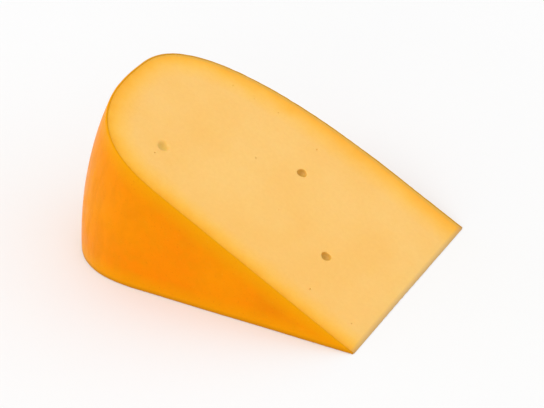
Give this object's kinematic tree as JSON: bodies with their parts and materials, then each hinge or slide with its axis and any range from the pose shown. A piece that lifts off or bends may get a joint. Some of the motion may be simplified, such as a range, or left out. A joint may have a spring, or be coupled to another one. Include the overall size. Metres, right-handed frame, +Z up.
{
  "type": "cheese wedge",
  "caption": "Wedge cut from a round coated cheese, lying on one cut face, with small eyes and an orange rind coat.",
  "frame": {"origin": "middle of the footprint box of the wedge, on the table that its lower cut face lies on", "axes": "+X towards the thin tip edge and -X towards the outer wall; Y along the axis of the wheel it was cut from, with the squarer shoulder at -Y; +Z up"},
  "size_m": [0.1484, 0.112, 0.0722],
  "materials": {
    "paste": null,
    "coat": "satin, brushed-on coating"
  },
  "bodies": {
    "root": {"cheese_paste": "paste", "rind_coat": "coat"}
  },
  "joints": []
}
